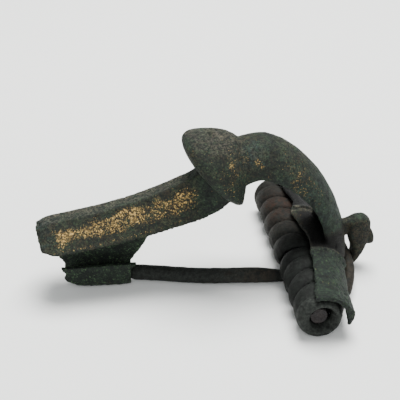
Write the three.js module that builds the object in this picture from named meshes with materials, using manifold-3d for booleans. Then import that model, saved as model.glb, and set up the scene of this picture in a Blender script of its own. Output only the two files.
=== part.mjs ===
// A two-lobed roll-cap brooch of cast bronze, with a sprung pin of one wire and an iron axle.
// Millimetres. X runs from the foot to the head, Y along the spring, Z up.
// While it is modelled, the spring's axis lies over X = 0, the bow's middle plane is Y = 0 and
// the brooch stands on Z = 0. The whole is centred on its own outline at the end.
import * as THREE from 'three';
import { mergeVertices } from 'three/addons/utils/BufferGeometryUtils.js';
import Module from 'manifold-3d';

const { lerp, smoothstep, degToRad } = THREE.MathUtils;

// Spring and pin, one wire
const springRadius = 3.3;
const wireDiameter = 1.64;
const springNearEnd = -17.8;
const springFarEnd = 18.8;
const pinLeavesAt = -3.4;
const nearTurns = 4;
const farTurns = 5;
const middleTopY = -1.8;
const innerTurnPitch = 1.9;
const turnGap = 0.3;
const endRingWidth = 2.4;
const ringJoin = 1.0;
const wireTail = 1 / 3;
const pinDiameter = 2.45;
const pinTipDiameter = 0.9;
const pinInCatchDiameter = 1.5;
const wireSides = 8;
const stepsPerTurn = 13;

// Axle
const axleDiameter = 2.6;
const axleRecess = 0.8;

// Foot
const footEndX = -40.5;
const footEndHeight = 11.9;
const footNeckX = -16.4;
const footNeckHeight = 18.6;
const footEndHalfWidth = 5.0;
const footNeckHalfWidth = 3.7;
const footEndDepth = 3.9;
const footNeckDepth = 6.0;
const ridgeHalfWidth = 1.3;
const footEndWear = 1.2;

// Comb, the thick collar between foot and bow, seated at a share of the way from neck to crown
const combSeat = 0.28;
const combHalfWidth = 6.5;
const combHalfHeight = 7.2;
const combLean = 38;
const combLift = 0.55;
const combFrontDepth = 1.8;
const combBackRise = -0.2;
const combEase = 1.6;
const combBackHalfWidth = 4.5;
const combBackHalfHeight = 5.3;
const combBackLean = -3;
const combLength = 7.2;

// Bow and its hollow head
const crownX = -6.3;
const crownHeight = 24.6;
const headX = 8.1;
const headBottom = 4.0;
const bowCurve = 1.69;
const neckHalfWidth = 4.2;
const neckRise = 1.7;
const headHalfWidth = 4.3;
const crossHalfWidth = 6.0;
const neckDepth = 5.6;
const waistDepth = 3.4;
const headDepth = 3.9;
const bowWall = 1.4;
const bowRim = 1.2;

// Roll cap: two lobes of plate bent over the spring, and the tongue between them
const lobeWall = 0.7;
const lobeGap = 0.32;
const lobeInnerY = 5.9;
const lobeNearY = 18.1;
const lobeFarY = 17.6;
const lobeSpread = 2.2;
const lobeExtraOuter = 0.35;
const lobeFrontAngle = 97;
const lobeBackAngle = -9;
const lobeRootAngle = 9;
const rimBead = 0.55;
const tongueNearY = -5.6;
const tongueCut = 8;
const farLobeCut = 20;
const bridgeFrontAngle = 38;
const plateOverlap = 0.3;

// Catch: a plate under the foot, folded up into a trough for the pin
const catchWall = 0.7;
const catchClearance = 0.3;
const catchLeft = -36.6;
const catchRight = -26.4;
const catchRootLeft = -37.6;
const catchRootRight = -22.0;
const catchLip = 4.3;
const catchShoulder = 7.0;
const catchChip = 5.2;
const catchY = -0.3;

// Hook that holds the chord
const hookThickness = 3.8;
const hookTipThickness = 1.1;
const hookWidth = 2.9;
const hookStem = 2.6;
const hookFinger = 1.35;
const hookTop = 9.6;
const hookMiddleX = 10.2;
const hookBottom = 0.3;
const chordX = 8.2;
const chordHeight = 2.8;

// The fold of the catch has an odd number of facets, so that it rests on a flat one
const catchFacets = 7;
const catchBore = pinInCatchDiameter / 2 + catchClearance;
const catchAxisZ = (catchBore + catchWall) * Math.cos(Math.PI / (2 * catchFacets));

// Edges shorter than this, left where two forms meet, are closed up
const sliver = 0.01;

const wireRadius = wireDiameter / 2;
const springAxisZ = springRadius;
const coilRadius = springRadius - wireRadius;
const at = (x, y, z) => new THREE.Vector3(x, y, z);

// Skin over rings of equal count, each an open strip out along the outer side and back along the
// inner one. The two ends are closed across from the outer to the inner side.
function skin(rings) {
  const count = rings[0].length;
  const positions = rings.flat().flatMap((p) => [p.x, p.y, p.z]);
  const faces = [];
  const quad = (a, b, c, d) => faces.push(a, b, c, a, c, d);
  for (let i = 0; i < rings.length - 1; i += 1) {
    for (let j = 0; j < count; j += 1) {
      const k = (j + 1) % count;
      quad(i * count + j, (i + 1) * count + j, (i + 1) * count + k, i * count + k);
    }
  }
  const last = (rings.length - 1) * count;
  for (let j = 0; j < count / 2 - 1; j += 1) {
    const [a, b, c, d] = [j, j + 1, count - 2 - j, count - 1 - j];
    quad(a, b, c, d);
    quad(last + d, last + c, last + b, last + a);
  }
  const geometry = new THREE.BufferGeometry();
  geometry.setAttribute('position', new THREE.Float32BufferAttribute(positions, 3));
  geometry.setIndex(faces);
  return geometry;
}

// Signed volume, to tell whether a closed skin points in or out
function volumeOf(geometry) {
  const p = geometry.getAttribute('position');
  const index = geometry.getIndex();
  const [a, b, c] = [at(0, 0, 0), at(0, 0, 0), at(0, 0, 0)];
  let sum = 0;
  for (let i = 0; i < index.count; i += 3) {
    a.fromBufferAttribute(p, index.getX(i));
    b.fromBufferAttribute(p, index.getX(i + 1));
    c.fromBufferAttribute(p, index.getX(i + 2));
    sum += a.dot(b.cross(c));
  }
  return sum / 6;
}

function facingOut(geometry) {
  if (volumeOf(geometry) > 0) return geometry;
  const flipped = Array.from(geometry.getIndex().array);
  for (let i = 0; i < flipped.length; i += 3) {
    [flipped[i], flipped[i + 1]] = [flipped[i + 1], flipped[i]];
  }
  geometry.setIndex(flipped);
  return geometry;
}

const wasm = await Module();
wasm.setup();

function solid(geometry) {
  const bare = geometry.clone();
  bare.deleteAttribute('normal');
  bare.deleteAttribute('uv');
  const merged = facingOut(mergeVertices(bare, 1e-4));
  return new wasm.Manifold(new wasm.Mesh({
    numProp: 3,
    vertProperties: new Float32Array(merged.getAttribute('position').array),
    triVerts: new Uint32Array(merged.getIndex().array),
  }));
}

function surface(manifold) {
  const mesh = manifold.getMesh();
  const geometry = new THREE.BufferGeometry();
  geometry.setAttribute('position', new THREE.BufferAttribute(mesh.vertProperties, 3));
  geometry.setIndex(new THREE.BufferAttribute(mesh.triVerts, 1));
  return geometry;
}

// Round bar along points, with its frame carried from one point to the next
function bar(points, radius) {
  const normal = at(0, 0, 1);
  const rings = points.map((point, i) => {
    const before = points[Math.max(i - 1, 0)];
    const after = points[Math.min(i + 1, points.length - 1)];
    const along = after.clone().sub(before).normalize();
    normal.addScaledVector(along, -normal.dot(along)).normalize();
    const across = along.clone().cross(normal);
    return Array.from({ length: wireSides }, (_, k) => {
      const angle = ((k + 0.5) / wireSides) * 2 * Math.PI;
      return point.clone()
        .addScaledVector(normal, Math.cos(angle) * radius)
        .addScaledVector(across, Math.sin(angle) * radius);
    });
  });
  return solid(skin(rings));
}

// One arch-shaped section, seen along the bow: the outer side is an arch or a roof with a narrow
// flat ridge, and the inner side is an arch as deep as the section is hollow.
function bowSection(s) {
  const steps = 14;
  const ridgeShare = 2 / 7;
  const outer = [];
  const inner = [];
  for (let i = 0; i <= steps; i += 1) {
    const u = (2 * i) / steps - 1;
    const side = Math.sign(u);
    const slope = Math.max(0, (Math.abs(u) - ridgeShare) / (1 - ridgeShare));
    const roofY = Math.abs(u) < ridgeShare + 1e-9
      ? (u / ridgeShare) * ridgeHalfWidth
      : side * lerp(ridgeHalfWidth, s.half, slope);
    const angle = (u * Math.PI) / 2;
    const y = lerp(s.half * Math.sin(angle), roofY, s.roof);
    const drop = lerp(s.deep * (1 - Math.cos(angle)), s.deep * slope, s.roof);
    outer.push([y, -drop]);
    const rise = (s.deep - bowWall) * s.hollow * Math.cos(angle);
    inner.push([(s.half - bowRim) * Math.sin(angle), -s.deep + rise]);
  }
  const up = at(-s.along.z, 0, s.along.x);
  const place = ([y, h]) => at(s.at.x + up.x * h, y, s.at.z + up.z * h);
  return [...outer.map(place), ...inner.reverse().map(place)];
}

// Ridge line of the foot at share t of its way from the end to the neck
function footRidge(t) {
  const rise = 0.5 * t + 0.5 * t ** 2.6;
  return at(lerp(footEndX, footNeckX, t), 0, lerp(footEndHeight, footNeckHeight, rise));
}

// Ridge line of the bow at share t of a quarter turn from its crown to the bottom of its head
function bowRidge(t) {
  const angle = (t * Math.PI) / 2;
  const out = Math.sin(angle) ** (2 / bowCurve);
  const over = Math.cos(angle) ** (2 / bowCurve);
  return at(lerp(crownX, headX, out), 0, lerp(headBottom, crownHeight, over));
}

function bowBody() {
  const stations = [];
  for (const t of [0, 0.03, 0.09, 0.2, 0.35, 0.5, 0.66, 0.8, 0.92, 1]) {
    const worn = footEndWear * (1 - smoothstep(t, -0.02, 0.1));
    const ridge = footRidge(t);
    ridge.z -= worn * 0.4;
    stations.push({
      at: ridge,
      half: lerp(footEndHalfWidth, footNeckHalfWidth, t) - worn,
      deep: lerp(footEndDepth, footNeckDepth, t ** 2) - worn * 0.6,
      roof: 1 - smoothstep(t, 0.9, 1.4),
      hollow: 0.22 * (1 - t),
    });
  }
  const neck = footRidge(1).lerp(at(crownX, 0, crownHeight), 0.5);
  neck.z += neckRise;
  stations.push({ at: neck, half: neckHalfWidth, deep: neckDepth, roof: 0, hollow: 0 });
  for (const t of [0.04, 0.16, 0.27, 0.38, 0.5, 0.62, 0.74, 0.86, 1]) {
    stations.push({
      at: bowRidge(t),
      half: lerp(lerp(neckHalfWidth + 0.2, headHalfWidth, smoothstep(t, 0, 0.4)),
        crossHalfWidth, smoothstep(t, 0.75, 1)),
      deep: lerp(lerp(neckDepth, waistDepth, smoothstep(t, 0.1, 0.75)),
        headDepth, smoothstep(t, 0.6, 1)),
      roof: 0,
      hollow: smoothstep(t, -0.1, 0.35),
    });
  }
  const line = new THREE.CatmullRomCurve3(stations.map((s) => s.at), false, 'centripetal');
  const between = 2;
  const reach = 0.045;
  const rings = [];
  for (let i = 0; i < (stations.length - 1) * between + 1; i += 1) {
    const place = i / between;
    const a = stations[Math.floor(place)];
    const b = stations[Math.min(Math.floor(place) + 1, stations.length - 1)];
    const mix = (key) => lerp(a[key], b[key], place - Math.floor(place));
    const t = place / (stations.length - 1);
    const ahead = line.getPoint(Math.min(t + reach, 1));
    rings.push(bowSection({
      at: line.getPoint(t),
      along: ahead.sub(line.getPoint(Math.max(t - reach, 0))).normalize(),
      half: mix('half'),
      deep: mix('deep'),
      roof: mix('roof'),
      hollow: mix('hollow'),
    }));
  }
  return solid(skin(rings));
}

// Comb: a big oval that leans to the foot, swept back to a smaller one as its plane stands up, so
// that it is long on top and short below. Its edges are rounded and its front is slightly domed.
function comb() {
  const seat = footRidge(1).lerp(at(crownX, 0, crownHeight), combSeat);
  const upOf = (lean) => at(-Math.sin(lean), 0, Math.cos(lean));
  const front = degToRad(combLean);
  const back = degToRad(combBackLean);
  const foremost = seat.clone().addScaledVector(upOf(front), combLift)
    .addScaledVector(at(Math.cos(front), 0, Math.sin(front)), -combFrontDepth);
  const hindmost = foremost.clone().add(at(combLength, 0, combBackRise));
  const around = 20;
  const across = 10;
  const rings = [];
  for (let i = 0; i <= across; i += 1) {
    const s = (1 - Math.cos((i * Math.PI) / across)) / 2;
    const round = Math.max(0.02, 1 - Math.abs(2 * s - 1) ** 3.2) ** 0.42;
    const turned = s ** combEase;
    const lean = lerp(front, back, turned);
    const centre = foremost.clone().lerp(hindmost, s);
    const high = round * lerp(combHalfHeight, combBackHalfHeight, turned);
    const wide = round * lerp(combHalfWidth, combBackHalfWidth, turned);
    rings.push(Array.from({ length: around }, (_, k) => {
      const angle = ((k + 0.5) / around) * 2 * Math.PI;
      return centre.clone()
        .addScaledVector(upOf(lean), high * Math.sin(angle))
        .add(at(0, wide * Math.cos(angle), 0));
    }));
  }
  return solid(skin(rings));
}

// Ellipse of the roll cap's outside at y, wide at the bow and close round the spring at its end
function capAt(y, outerY) {
  const share = smoothstep(Math.abs(y), 0, outerY) * 0.35 + 0.65 * (Math.abs(y) / outerY);
  const inner = springRadius + lobeGap + lobeWall;
  const wide = lerp(headX - 0.7 - lobeSpread, inner + lobeExtraOuter, share);
  return { x: lerp(lobeSpread, 0, share), wide, high: inner };
}

// Bent plate of the roll cap over a range of y, with raised beads where bead(y) says
function capPlate(y0, y1, outerY, steps, bead, front, back) {
  const around = 12;
  const rings = [];
  for (let i = 0; i <= steps; i += 1) {
    const y = lerp(y0, y1, i / steps);
    const cap = capAt(y, outerY);
    const arc = (grow) => Array.from({ length: around + 1 }, (_, k) => {
      const angle = degToRad(lerp(front(y), back(y), k / around));
      return at(cap.x + (cap.wide + grow) * Math.cos(angle), y,
        springAxisZ + (cap.high + grow) * Math.sin(angle));
    });
    rings.push([...arc(bead(y)), ...arc(-lobeWall).reverse()]);
  }
  return solid(skin(rings));
}

// Broken edges of the near lobe: its front edge frays towards the end, and a tip hangs at the back
const fray = (y) => 7 * smoothstep(-y, 12.5, lobeNearY) - 2.5 * Math.exp(-((y + 8.5) ** 2));
const hangingTip = (y) => 7 * smoothstep(-y, lobeNearY - 2.2, lobeNearY);

// Back edge of a lobe: it rises towards the bow, where the chord comes out from under it
const backEdge = (y) => lerp(lobeRootAngle, lobeBackAngle, smoothstep(Math.abs(y), lobeInnerY, 12));

function lobes() {
  const bead = (y) => rimBead * Math.exp(-(((Math.abs(y) - lobeInnerY) / 0.7) ** 2));
  const near = capPlate(-lobeInnerY, -lobeNearY, lobeNearY, 12, bead,
    (y) => lobeFrontAngle + fray(y), (y) => backEdge(y) - hangingTip(y));
  const far = capPlate(lobeInnerY, lobeFarY, lobeFarY, 8, bead,
    (y) => lobeFrontAngle - farLobeCut * smoothstep(y, lobeInnerY, lobeInnerY + 3.5), backEdge);
  const tongue = capPlate(tongueNearY, lobeInnerY + plateOverlap, lobeFarY, 4, () => 0,
    (y) => lobeFrontAngle + 6 - tongueCut * smoothstep(-y, -3, 4), () => lobeRootAngle);
  const bridge = capPlate(-lobeInnerY - plateOverlap, lobeInnerY + plateOverlap, lobeFarY, 6, () => 0,
    () => bridgeFrontAngle, () => lobeRootAngle);
  return near.add(far).add(tongue).add(bridge);
}

// Flat prism of an outline in X and Z, from one y to another
function slab(outline, y0, y1) {
  const shape = new THREE.Shape(outline.map(([x, z]) => new THREE.Vector2(x, z)));
  const geometry = new THREE.ExtrudeGeometry(shape, { depth: y1 - y0, bevelEnabled: false });
  geometry.rotateX(Math.PI / 2);
  geometry.translate(0, y1, 0);
  return solid(geometry);
}

// Catch: a J-shaped fold carried along X, cut to the plate's outline
function catchPlate() {
  const inner = catchBore;
  const outer = catchBore + catchWall;
  const bend = (radius) => Array.from({ length: catchFacets + 1 }, (_, k) => {
    const angle = Math.PI + (k / catchFacets) * Math.PI;
    return [radius * Math.cos(angle), catchAxisZ + radius * Math.sin(angle)];
  });
  const rootZ = footEndHeight - footEndDepth + 1.4;
  const outside = [[-outer, catchLip], ...bend(outer), [outer, rootZ]];
  const inside = [[-inner, catchLip], ...bend(inner), [inner, rootZ]];
  const rings = [catchRootLeft - 0.5, catchRootRight + 0.5].map((x) => {
    const place = ([y, z]) => at(x, catchY + y, z);
    return [...outside.map(place), ...inside.map(place).reverse()];
  });
  const outline = [
    [catchRootLeft, rootZ + 1], [catchRootLeft, 5.4], [catchLeft + 0.3, 3.2],
    [catchLeft, 2.6], [catchLeft + 0.5, 1.9], [catchLeft + 0.4 * catchChip, 0.8],
    [catchLeft + catchChip, -0.1],
    [catchRight, -0.1], [catchRight + 0.3, catchLip - 1], [catchRight + 2, 5.4],
    [catchRootRight - 1, catchShoulder + 0.6], [catchRootRight, rootZ + 1],
  ];
  const root = slab([
    [catchRootLeft, rootZ - 0.8], [catchRootRight, rootZ - 0.8],
    [catchRootRight, rootZ + 2.6], [catchRootLeft + 1, rootZ + 1.4],
  ], catchY + inner, catchY + outer);
  const around = slab(outline, catchY - outer - 1, catchY + outer + 1);
  return solid(skin(rings)).intersect(around).add(root);
}

// Band along points in X and Z, with a thickness at each share of its way
function band(points, thicknessAt, width, y) {
  const line = new THREE.CatmullRomCurve3(points.map(([x, z]) => at(x, 0, z)), false, 'centripetal');
  const steps = 3 * (points.length - 1);
  const corners = 10;
  const rings = Array.from({ length: steps + 1 }, (_, i) => {
    const t = i / steps;
    const along = line.getTangent(t);
    const across = at(-along.z, 0, along.x);
    const centre = line.getPoint(t);
    const thickness = thicknessAt(t);
    const narrow = Math.min(1, 0.6 + 4 * t, 0.7 + 2 * (1 - t));
    return Array.from({ length: corners }, (_, k) => {
      const angle = ((k + 0.5) / corners) * 2 * Math.PI;
      const square = (v) => Math.sign(v) * Math.abs(v) ** 0.6;
      return centre.clone()
        .addScaledVector(across, square(Math.sin(angle)) * (thickness / 2))
        .add(at(0, y + narrow * square(Math.cos(angle)) * (width / 2), 0));
    });
  });
  return solid(skin(rings));
}

// Hook: a stem from the head, a thick strap that bends down round the chord, and its curled finger
function hook() {
  const stem = band([[headX - 1, hookTop - 2.4], [headX + 0.8, hookTop - 1.9], [hookMiddleX, hookTop - 1.3]],
    () => hookStem, hookWidth * 0.7, 0);
  const strap = band([
    [hookMiddleX - 0.2, hookTop - 0.3], [hookMiddleX - 0.05, hookTop - 1.3], [hookMiddleX, 6.8],
    [hookMiddleX + 0.1, 5.4], [hookMiddleX + 0.15, 3.9], [hookMiddleX - 0.15, 2.4],
    [hookMiddleX - 0.8, hookBottom + hookTipThickness / 2],
  ], (t) => lerp(hookThickness, hookTipThickness, smoothstep(t, 0.3, 1)) * Math.min(1, 0.5 + 3 * t),
  hookWidth, 0);
  const curl = band([
    [hookMiddleX + 0.8, 7.2], [hookMiddleX + 1.5, 6.6], [hookMiddleX + 1.95, 5.6], [hookMiddleX + 2.0, 4.3],
  ], (t) => hookFinger * lerp(1, 0.85, t), hookWidth * 0.7, -0.2);
  return stem.add(strap).add(curl);
}

const coil = (y, degrees) => at(coilRadius * Math.cos(degToRad(degrees)), y,
  springAxisZ + coilRadius * Math.sin(degToRad(degrees)));

// Flattened wire along points that run across Y, as thick as the wire and as wide as widths says
function ribbon(points, thicknesses, widths) {
  const rings = points.map((point, i) => {
    const before = points[Math.max(i - 1, 0)];
    const after = points[Math.min(i + 1, points.length - 1)];
    const along = after.clone().sub(before).normalize();
    const wide = at(0, 1, 0).addScaledVector(along, -along.y).normalize();
    const thick = along.clone().cross(wide);
    return Array.from({ length: wireSides }, (_, k) => {
      const angle = ((k + 0.5) / wireSides) * 2 * Math.PI;
      return point.clone()
        .addScaledVector(thick, (Math.sin(angle) * thicknesses[i]) / 2)
        .addScaledVector(wide, (Math.cos(angle) * widths[i]) / 2);
    });
  });
  return solid(skin(rings));
}

// Ring that closes one end of the spring
function endRing(y) {
  const geometry = new THREE.TorusGeometry(coilRadius, wireRadius, wireSides, 18);
  geometry.rotateX(Math.PI / 2);
  geometry.scale(1, endRingWidth / wireDiameter, 1);
  geometry.translate(0, y, springAxisZ);
  return solid(geometry);
}

const nearRingY = springNearEnd + endRingWidth / 2;
const farRingY = springFarEnd - endRingWidth / 2;

// Pin, and the near half of the spring that it runs into: the pin is round, its tip is thin where
// it lies in the catch, and the turns are flattened until they close up on each other
function pinAndNearHalf() {
  const points = [];
  const thicknesses = [];
  const widths = [];
  const pin = new THREE.CatmullRomCurve3([
    at(catchLeft + 1.0, catchY, catchAxisZ), at(catchRight, catchY, catchAxisZ),
    at(lerp(catchRight, 0, 0.43), lerp(catchY, pinLeavesAt, 0.6), pinDiameter / 2 + 0.15),
    at(lerp(catchRight, 0, 0.77), lerp(catchY, pinLeavesAt, 0.88), pinDiameter / 2 + 0.1),
    at(0, pinLeavesAt, wireRadius), coil(pinLeavesAt - 0.1, -70),
  ]);
  const pinSteps = 16;
  for (let i = 0; i < pinSteps; i += 1) {
    const point = pin.getPoint((i / pinSteps) * 0.8);
    const tip = smoothstep(point.x, catchLeft, catchLeft + 5);
    const shaft = smoothstep(point.x, catchRight - 0.3, catchRight + 1.8);
    const root = smoothstep(point.x, -7, 0);
    const inCatch = lerp(pinTipDiameter, pinInCatchDiameter, tip);
    const across = lerp(lerp(inCatch, pinDiameter, shaft), wireDiameter, root);
    points.push(point);
    thicknesses.push(across);
    widths.push(across);
  }
  const pitch = (pinLeavesAt - innerTurnPitch - nearRingY - ringJoin) / (nearTurns - 1);
  for (let i = 0; i <= (nearTurns + 0.3) * stepsPerTurn; i += 1) {
    const turn = i / stepsPerTurn;
    const into = smoothstep(turn, nearTurns, nearTurns + 0.3);
    const y = pinLeavesAt - Math.min(turn, 1) * innerTurnPitch - Math.max(turn - 1, 0) * pitch;
    points.push(coil(lerp(y, nearRingY, into), -90 + turn * 360));
    thicknesses.push(wireDiameter * lerp(1, 0.8, into));
    widths.push(lerp(wireDiameter, pitch - turnGap, smoothstep(turn, 0, 1.1)) * lerp(1, 0.6, into));
  }
  return ribbon(points, thicknesses, widths);
}

// Far half of the spring, from its end ring back to the wire's end under the bow
function farHalf() {
  const start = farRingY - ringJoin;
  const pitch = (start - middleTopY) / (farTurns - 0.25);
  const steps = Math.round((farTurns - 0.25 + wireTail + 0.3) * stepsPerTurn);
  const turns = Array.from({ length: steps + 1 }, (_, i) => i / stepsPerTurn - 0.3);
  const into = (turn) => 1 - smoothstep(turn, -0.3, 0);
  return ribbon(
    turns.map((turn) => coil(lerp(start - turn * pitch, farRingY, into(turn)), -90 - turn * 360)),
    turns.map((turn) => wireDiameter * lerp(1, 0.8, into(turn))),
    turns.map((turn) => (pitch - turnGap) * lerp(1, 0.6, into(turn))),
  );
}

// Chord: from the foot of one end ring, out under the edge of its lobe, to the hook and back
function chord() {
  const half = (ringY, side) => [
    coil(ringY, -78), at(1.9, ringY - side * 0.25, 1.2), at(2.75, ringY - side, 1.25),
    at(3.35, ringY - side * 2.1, 1.05), at(3.95, ringY - side * 3.6, 1.0),
    at(4.8, ringY - side * 5.4, 1.15), at(6.4, ringY - side * 7.8, 1.8),
    at(chordX - 0.4, ringY - side * 11.6, chordHeight - 0.3),
  ];
  const line = new THREE.CatmullRomCurve3([
    ...half(nearRingY, -1), at(chordX, -hookWidth / 2, chordHeight),
    at(chordX, hookWidth / 2, chordHeight), ...half(farRingY, 1).reverse(),
  ], false, 'centripetal');
  const steps = 28;
  return bar(Array.from({ length: steps + 1 }, (_, i) => line.getPoint(i / steps)), wireRadius);
}

function axle() {
  const geometry = new THREE.CylinderGeometry(axleDiameter / 2, axleDiameter / 2,
    springFarEnd - springNearEnd - 2 * axleRecess, 16, 1);
  geometry.translate(0, (springNearEnd + springFarEnd) / 2, springAxisZ);
  return geometry;
}

function piece(name, geometry, colour, roughness, metalness) {
  const material = new THREE.MeshStandardMaterial({ color: colour, roughness, metalness, flatShading: true });
  const mesh = new THREE.Mesh(geometry, material);
  mesh.name = name;
  return mesh;
}

const wire = pinAndNearHalf().add(endRing(nearRingY)).add(chord()).add(endRing(farRingY))
  .add(farHalf()).simplify(sliver);
const bow = bowBody().add(comb()).add(lobes()).add(catchPlate()).add(hook()).simplify(sliver);
const brooch = new THREE.Group();
brooch.add(
  piece('bow', surface(bow), 0x4a5243, 0.75, 0.35),
  piece('spring_and_pin', surface(wire), 0x38362f, 0.8, 0.3),
  piece('axle', axle(), 0x4d352a, 0.95, 0.1),
);

// The origin is the middle of the outline on the surface that the brooch stands on
const extent = new THREE.Box3().setFromObject(brooch);
brooch.position.set(-(extent.min.x + extent.max.x) / 2, -(extent.min.y + extent.max.y) / 2, -extent.min.z);
brooch.updateMatrixWorld(true);

export default brooch;
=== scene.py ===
"""Dress the packed fibula brooch: a bronze casting, its sprung pin and its rusted axle.

Every form is a function of two parameters on a grid, or a profile carried along a path. Lengths in
the classes are millimetres in the casting's own frame, with the spring's axis over X = 0, the bow's
middle plane at Y = 0 and the ground at Z = 0. Placement turns them into metres in the shared frame.
"""

from __future__ import annotations

import logging
import math
from dataclasses import dataclass, field
from enum import Enum
from typing import Callable, Sequence

import bpy
import numpy as np
from mathutils import Matrix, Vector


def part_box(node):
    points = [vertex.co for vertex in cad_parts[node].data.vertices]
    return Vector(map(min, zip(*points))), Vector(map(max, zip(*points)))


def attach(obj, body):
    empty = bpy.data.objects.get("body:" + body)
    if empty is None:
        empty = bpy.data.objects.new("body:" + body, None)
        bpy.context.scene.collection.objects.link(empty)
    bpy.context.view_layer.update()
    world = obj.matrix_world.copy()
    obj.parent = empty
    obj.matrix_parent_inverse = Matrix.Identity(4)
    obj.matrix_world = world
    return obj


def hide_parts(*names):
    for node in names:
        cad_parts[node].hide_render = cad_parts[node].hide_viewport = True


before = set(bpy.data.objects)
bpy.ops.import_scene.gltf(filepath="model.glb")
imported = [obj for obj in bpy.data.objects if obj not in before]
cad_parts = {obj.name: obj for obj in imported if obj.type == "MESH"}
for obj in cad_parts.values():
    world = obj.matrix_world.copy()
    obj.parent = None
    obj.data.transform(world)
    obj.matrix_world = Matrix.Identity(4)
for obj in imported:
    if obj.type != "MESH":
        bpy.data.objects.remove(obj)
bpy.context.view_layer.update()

LOG = logging.getLogger("brooch")
Array = np.ndarray
Edge = Callable[[Array], Array]
Colour = tuple[float, float, float]
Socket = bpy.types.NodeSocket


class Side(Enum):
    """Side of the bow's middle plane on which a lobe or half of the spring lies."""

    NEAR = -1
    FAR = 1


def smooth(value: Array | float, low: float, high: float) -> Array:
    """Return the S-curve 3t^2 - 2t^3 of value between low and high."""
    t = np.clip((np.asarray(value, float) - low) / (high - low), 0.0, 1.0)
    return t * t * (3.0 - 2.0 * t)


def lerp(a: Array | float, b: Array | float, t: Array | float) -> Array:
    """Return a + (b - a) t."""
    return a + (b - a) * np.asarray(t, float)


def bell(value: Array | float, middle: float, width: float) -> Array:
    """Return exp(-((value - middle) / width)^2)."""
    return np.exp(-(((np.asarray(value, float) - middle) / width) ** 2))


def lattice(cells: Array, seed: int) -> Array:
    """Give each lattice cell a fixed pseudo-random number.

    The three whole coordinates and the seed are mixed by odd multipliers and shifts.

    Args:
        cells: whole coordinates, one row of three per point.
        seed: number that tells one field of noise from another.

    Returns:
        One value from 0 to 1 per row.
    """
    h = (cells[..., 0] * 374761393 + cells[..., 1] * 668265263
         + cells[..., 2] * 2147483647 + seed * 1274126177) & 0xFFFFFFFF
    h = ((h ^ (h >> 13)) * 1103515245) & 0xFFFFFFFF
    h = ((h ^ (h >> 15)) * 2654435761) & 0xFFFFFFFF
    return ((h ^ (h >> 16)) & 0xFFFFFF) / float(0xFFFFFF)


def grain(points: Array, size: float, seed: int, octaves: int = 3) -> Array:
    """Sum octaves of smooth value noise.

    Each octave blends the eight corner values of its lattice cell with the S-curve, at half the
    size and a little over half the weight of the one before.

    Args:
        points: one row of three per point.
        size: width of the largest lumps, in the points' own unit.
        seed: number of the field.
        octaves: how many sizes are added.

    Returns:
        One value per point, from about -1 to 1.
    """
    total = np.zeros(len(points))
    weight, norm = 1.0, 0.0
    for octave in range(octaves):
        p = points / size * 2.0**octave + 17.3 * (octave + 1)
        cell = np.floor(p).astype(np.int64)
        f = p - cell
        f = f * f * (3.0 - 2.0 * f)
        value = np.zeros(len(points))
        for corner in np.ndindex(2, 2, 2):
            c = np.array(corner)
            share = np.prod(np.where(c == 1, f, 1.0 - f), axis=1)
            value += share * lattice(cell + c, seed + 31 * octave)
        total += weight * (2.0 * value - 1.0)
        norm += weight
        weight *= 0.55
    return total / norm


def around(sides: int) -> Array:
    """Return evenly spread angles round a circle, half a step off zero."""
    return (np.arange(sides) + 0.5) / sides * 2 * np.pi


def spline(points: Sequence[Sequence[float]], t: Array) -> Array:
    """Follow a centripetal Catmull-Rom curve.

    Knots are spaced by the square root of the chord, tangents come from the knots on both sides,
    and each span is the cubic through its ends with those tangents.

    Args:
        points: knots, one row each.
        t: shares of the way, from 0 to 1, with the knots evenly spread.

    Returns:
        One row per share.
    """
    p = np.asarray(points, float)
    p = np.vstack([2 * p[0] - p[1], p, 2 * p[-1] - p[-2]])
    place = np.clip(np.asarray(t, float), 0, 1) * (len(p) - 3)
    i = np.minimum(place.astype(int), len(p) - 4)
    w = (place - i)[:, None]
    x0, x1, x2, x3 = p[i], p[i + 1], p[i + 2], p[i + 3]
    d0, d1, d2 = (np.sqrt(np.linalg.norm(b - a, axis=1))[:, None]
                  for a, b in ((x0, x1), (x1, x2), (x2, x3)))
    t1 = ((x1 - x0) / d0 - (x2 - x0) / (d0 + d1) + (x2 - x1) / d1) * d1
    t2 = ((x2 - x1) / d1 - (x3 - x1) / (d1 + d2) + (x3 - x2) / d2) * d1
    return (x1 + t1 * w + (-3 * x1 + 3 * x2 - 2 * t1 - t2) * w**2
            + (2 * x1 - 2 * x2 + t1 + t2) * w**3)


def along(line: Array) -> Array:
    """Return the unit direction of a run of points, by central differences."""
    step = np.gradient(line, axis=0)
    return step / np.linalg.norm(step, axis=1)[:, None]


@dataclass
class Skin:
    """Closed skin of points and four-sided faces."""

    points: Array
    faces: Array

    @classmethod
    def over(cls, rings: Array) -> "Skin":
        """Close a grid of rings: around, along, and across both ends.

        Each ring runs out along its outer side and back along its inner one, and an end is closed
        by joining point j of the outer side to its opposite on the inner side.

        Args:
            rings: grid of points, rings by points round by three.

        Returns:
            The skin, facing outwards.
        """
        n, m = rings.shape[:2]
        i, j = np.meshgrid(np.arange(n - 1), np.arange(m), indexing="ij")
        k = (j + 1) % m
        wall = np.stack([i * m + j, (i + 1) * m + j, (i + 1) * m + k, i * m + k], -1)
        e = np.arange(m // 2 - 1)
        start = np.stack([e, e + 1, m - 2 - e, m - 1 - e], -1)
        end = start[:, ::-1] + (n - 1) * m
        skin = cls(rings.reshape(-1, 3), np.vstack([wall.reshape(-1, 4), start, end]))
        return skin.facing_out()

    def facing_out(self) -> "Skin":
        """Turn the faces round where the volume under them is negative."""
        a, b, c, d = (self.points[self.faces[:, q]] for q in range(4))
        volume = np.einsum("ij,ij->", a, np.cross(b, c)) + np.einsum("ij,ij->", a, np.cross(c, d))
        if volume < 0:
            self.faces = self.faces[:, ::-1]
        return self


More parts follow.
